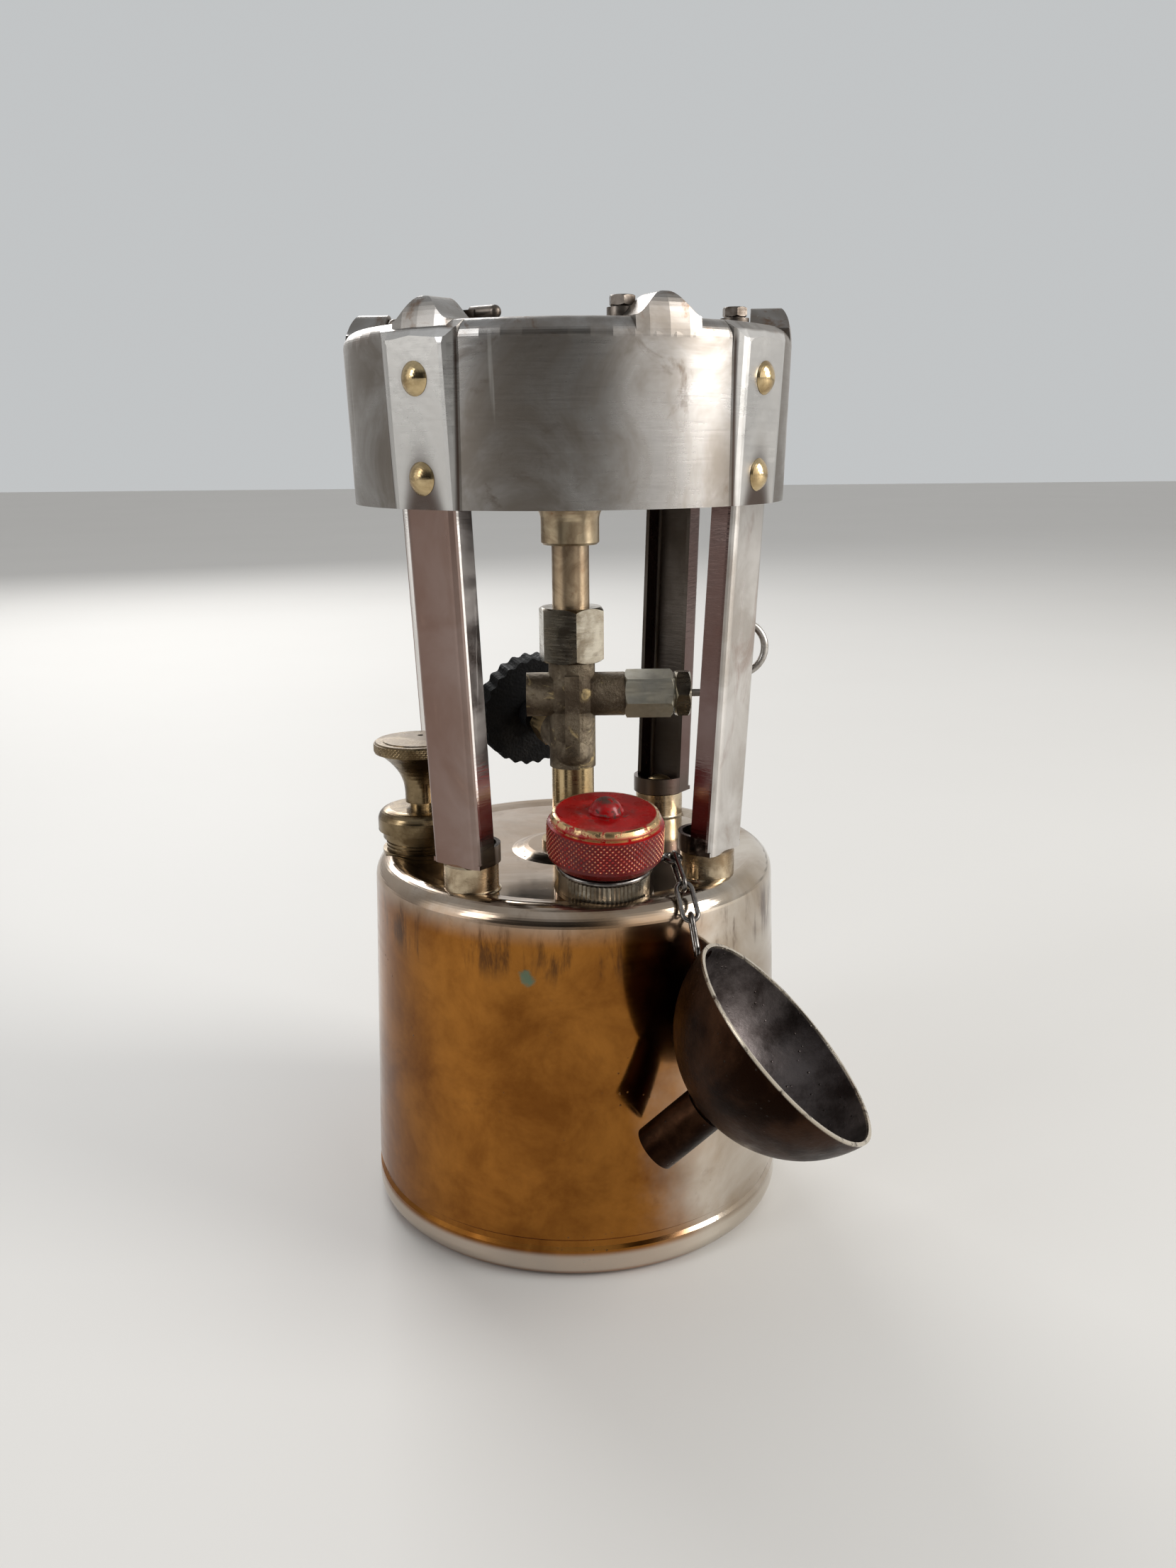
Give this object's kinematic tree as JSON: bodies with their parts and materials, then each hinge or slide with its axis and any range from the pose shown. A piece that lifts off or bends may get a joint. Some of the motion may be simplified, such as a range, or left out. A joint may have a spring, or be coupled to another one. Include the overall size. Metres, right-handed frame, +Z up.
{
  "type": "alcohol_pressure_stove",
  "caption": "Vintage pressurised alcohol spirit stove: round fuel tank, pump, filler cap, funnel on a chain, control valve, burner and a shroud ring on four channel legs.",
  "frame": {"origin": "centre of the tank's flat underside", "axes": "+Z up through the tank, burner and shroud; -Y is the front, where the filler cap is; +X is the viewer's right"},
  "size_m": [0.1257, 0.1544, 0.2368],
  "materials": {
    "tank_plate": "worn polished plate",
    "aged_brass": "aged",
    "bright_plate": "polished",
    "shroud_steel": "brushed, stained",
    "dark_steel": "oxidised",
    "valve_bronze": "cast, rough",
    "black_wheel": "matte, textured",
    "neck_plate": "knurled, worn",
    "red_paint": "gloss enamel, chipped",
    "gasket_rubber": "matte",
    "leather": "oiled",
    "funnel_brown": "oxidised"
  },
  "bodies": {
    "stove": {"tank_shell": "tank_plate", "tank_bottom": "tank_plate", "riser_pipe": "aged_brass", "pickup_tube": "aged_brass", "leg_posts": "aged_brass", "foot_screws": "aged_brass", "leg_front_left": "bright_plate", "leg_front_right": "bright_plate", "leg_rear_right": "bright_plate", "leg_rear_left": "bright_plate", "shroud_ring": "shroud_steel", "shroud_rivets": "aged_brass", "arm_screws": "dark_steel", "burner_bowl": "aged_brass", "burner_seat": "dark_steel", "flat_rings": "dark_steel", "wavy_rings": "dark_steel", "burner_cap": "dark_steel", "burner_screw": "aged_brass", "vaporizer_tube": "aged_brass", "jet": "aged_brass", "union_nut": "bright_plate", "valve_body": "valve_bronze", "cleaner_gland": "bright_plate", "cleaner_nut": "bright_plate", "packing_nut": "aged_brass", "filler_neck": "neck_plate", "pump_barrel": "aged_brass", "pump_cap": "aged_brass", "check_valve": "aged_brass", "check_ball": "dark_steel"},
    "pump": {"pump_rod": "aged_brass", "pump_knob": "aged_brass", "knob_insert": "aged_brass", "pump_leather": "leather", "plunger_nut": "aged_brass"},
    "valve": {"valve_spindle": "aged_brass", "handwheel": "black_wheel", "handwheel_screw": "aged_brass"},
    "cleaner": {"cleaner_lever": "dark_steel"},
    "needle": {"cleaning_needle": "dark_steel"},
    "gasket": {"cap_gasket": "gasket_rubber"},
    "cap": {"filler_cap": "red_paint", "cap_rivet": "red_paint"},
    "swivel": {"chain_ring": "dark_steel"},
    "link_1": {"chain_link_1": "dark_steel"},
    "link_2": {"chain_link_2": "dark_steel"},
    "link_3": {"chain_link_3": "dark_steel"},
    "funnel": {"funnel_bowl": "funnel_brown", "funnel_spout": "funnel_brown"},
    "arm_1": {"pot_arm_1": "dark_steel"},
    "arm_2": {"pot_arm_2": "dark_steel"},
    "arm_3": {"pot_arm_3": "dark_steel"},
    "arm_4": {"pot_arm_4": "dark_steel"},
    "arm_5": {"pot_arm_5": "dark_steel"},
    "arm_6": {"pot_arm_6": "dark_steel"}
  },
  "joints": [
    {"name": "pump_stroke", "type": "slide", "parent": "stove", "child": "pump", "axis": [0, 0, 1], "range_m": [0, 0.052]},
    {"name": "valve_turn", "type": "hinge", "parent": "stove", "child": "valve", "pos_m": [0, 0, 0.1272], "axis": [-0.4471, 0.8775, 0.1736], "range_deg": [0, 540]},
    {"name": "cleaner_turn", "type": "hinge", "parent": "stove", "child": "cleaner", "pos_m": [0.02, 0, 0.14], "axis": [1, 0, 0], "range_deg": [-45, 45]},
    {"name": "needle_lift", "type": "slide", "parent": "stove", "child": "needle", "axis": [0, 0, 1], "range_m": [-0.00075, 0.00075]},
    {"name": "cap_lift", "type": "slide", "parent": "stove", "child": "gasket", "axis": [0.0266, -0.1366, 0.9903], "range_m": [0, 0.0061]},
    {"name": "cap_turn", "type": "hinge", "parent": "gasket", "child": "cap", "pos_m": [0.00735, -0.03779, 0.0985], "axis": [0.0266, -0.1366, 0.9903], "range_deg": [0, 1080]},
    {"name": "chain_swivel", "type": "hinge", "parent": "stove", "child": "swivel", "pos_m": [0.00735, -0.03779, 0.0985], "axis": [0.0266, -0.1366, 0.9903], "range_deg": [-20, 0]},
    {"name": "link_1_swing", "type": "hinge", "parent": "swivel", "child": "link_1", "pos_m": [0.02484, -0.03557, 0.10511], "axis": [-0.9518, -0.3067, 0], "range_deg": [0, 6]},
    {"name": "link_2_swing", "type": "hinge", "parent": "link_1", "child": "link_2", "pos_m": [0.02666, -0.04336, 0.10008], "axis": [-0.9518, -0.3067, 0], "range_deg": [0, 12]},
    {"name": "link_3_swing", "type": "hinge", "parent": "link_2", "child": "link_3", "pos_m": [0.02805, -0.04931, 0.09414], "axis": [-0.9518, -0.3067, 0], "range_deg": [0, 12]},
    {"name": "funnel_swing", "type": "hinge", "parent": "link_3", "child": "funnel", "pos_m": [0.02912, -0.05394, 0.08703], "axis": [-0.9518, -0.3067, 0], "range_deg": [0, 10]},
    {"name": "arm_1_swing", "type": "hinge", "parent": "stove", "child": "arm_1", "pos_m": [-0.0286, -0.03059, 0.232], "axis": [0, 0, 1], "range_deg": [0, 85]},
    {"name": "arm_2_swing", "type": "hinge", "parent": "stove", "child": "arm_2", "pos_m": [0.01219, -0.04006, 0.232], "axis": [0, 0, 1], "range_deg": [0, 85]},
    {"name": "arm_3_swing", "type": "hinge", "parent": "stove", "child": "arm_3", "pos_m": [0.04079, -0.00948, 0.232], "axis": [0, 0, 1], "range_deg": [0, 85]},
    {"name": "arm_4_swing", "type": "hinge", "parent": "stove", "child": "arm_4", "pos_m": [0.0286, 0.03059, 0.232], "axis": [0, 0, 1], "range_deg": [0, 85]},
    {"name": "arm_5_swing", "type": "hinge", "parent": "stove", "child": "arm_5", "pos_m": [-0.01219, 0.04006, 0.232], "axis": [0, 0, 1], "range_deg": [0, 85]},
    {"name": "arm_6_swing", "type": "hinge", "parent": "stove", "child": "arm_6", "pos_m": [-0.04079, 0.00948, 0.232], "axis": [0, 0, 1], "range_deg": [0, 85]}
  ],
  "couplings": [
    {"joint": "cap_lift", "follows": "cap_turn", "m_per_rad": 0.00031831},
    {"joint": "needle_lift", "follows": "cleaner_turn", "m_per_rad": 0.0009}
  ]
}
